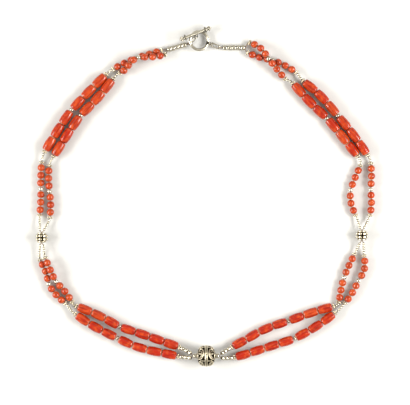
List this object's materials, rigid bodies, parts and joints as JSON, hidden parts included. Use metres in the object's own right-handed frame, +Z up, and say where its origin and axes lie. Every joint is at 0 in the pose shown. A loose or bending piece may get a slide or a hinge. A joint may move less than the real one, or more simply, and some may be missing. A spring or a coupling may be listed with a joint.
{
  "type": "bead necklace",
  "caption": "Bead necklace of red coral on two strands with silver spacers, side beads and a large scrolled centre bead, closed by a ring and bar toggle, lying flat.",
  "frame": {"origin": "on the surface that the necklace lies on, under the middle of its outline", "axes": "+Z up from the surface; +Y from the centre bead towards the clasp; +X to the right seen from above"},
  "size_m": [0.1527, 0.1532, 0.0099],
  "materials": {
    "coral": "polished red-orange coral",
    "silver": "silver with dark recesses",
    "thread": "twisted beading thread"
  },
  "bodies": {
    "root": {"coral_outer_left": "coral", "coral_inner_left": "coral", "coral_outer_right": "coral", "coral_inner_right": "coral", "daisies_outer_left": "silver", "daisies_inner_left": "silver", "daisies_outer_right": "silver", "daisies_inner_right": "silver", "spacers_outer_left": "silver", "spacers_inner_left": "silver", "spacers_outer_right": "silver", "spacers_inner_right": "silver", "run_beads_outer_left": "silver", "run_beads_inner_left": "silver", "run_beads_outer_right": "silver", "run_beads_inner_right": "silver", "seeds_outer_left": "silver", "seeds_inner_left": "silver", "seeds_outer_right": "silver", "seeds_inner_right": "silver", "side_bead_left": "silver", "side_bead_right": "silver", "front_bead_left": "silver", "front_bead_right": "silver", "tail_bead_left_1": "silver", "tail_bead_left_2": "silver", "tail_bead_left_3": "silver", "tail_bead_left_4": "silver", "tail_bead_left_5": "silver", "tail_bead_right_1": "silver", "tail_bead_right_2": "silver", "tail_bead_right_3": "silver", "tail_bead_right_4": "silver", "tail_bead_right_5": "silver", "link_left": "silver", "link_right": "silver", "centre_bead": "silver", "clasp_ring": "silver", "clasp_bar": "silver", "thread": "thread"}
  },
  "joints": []
}
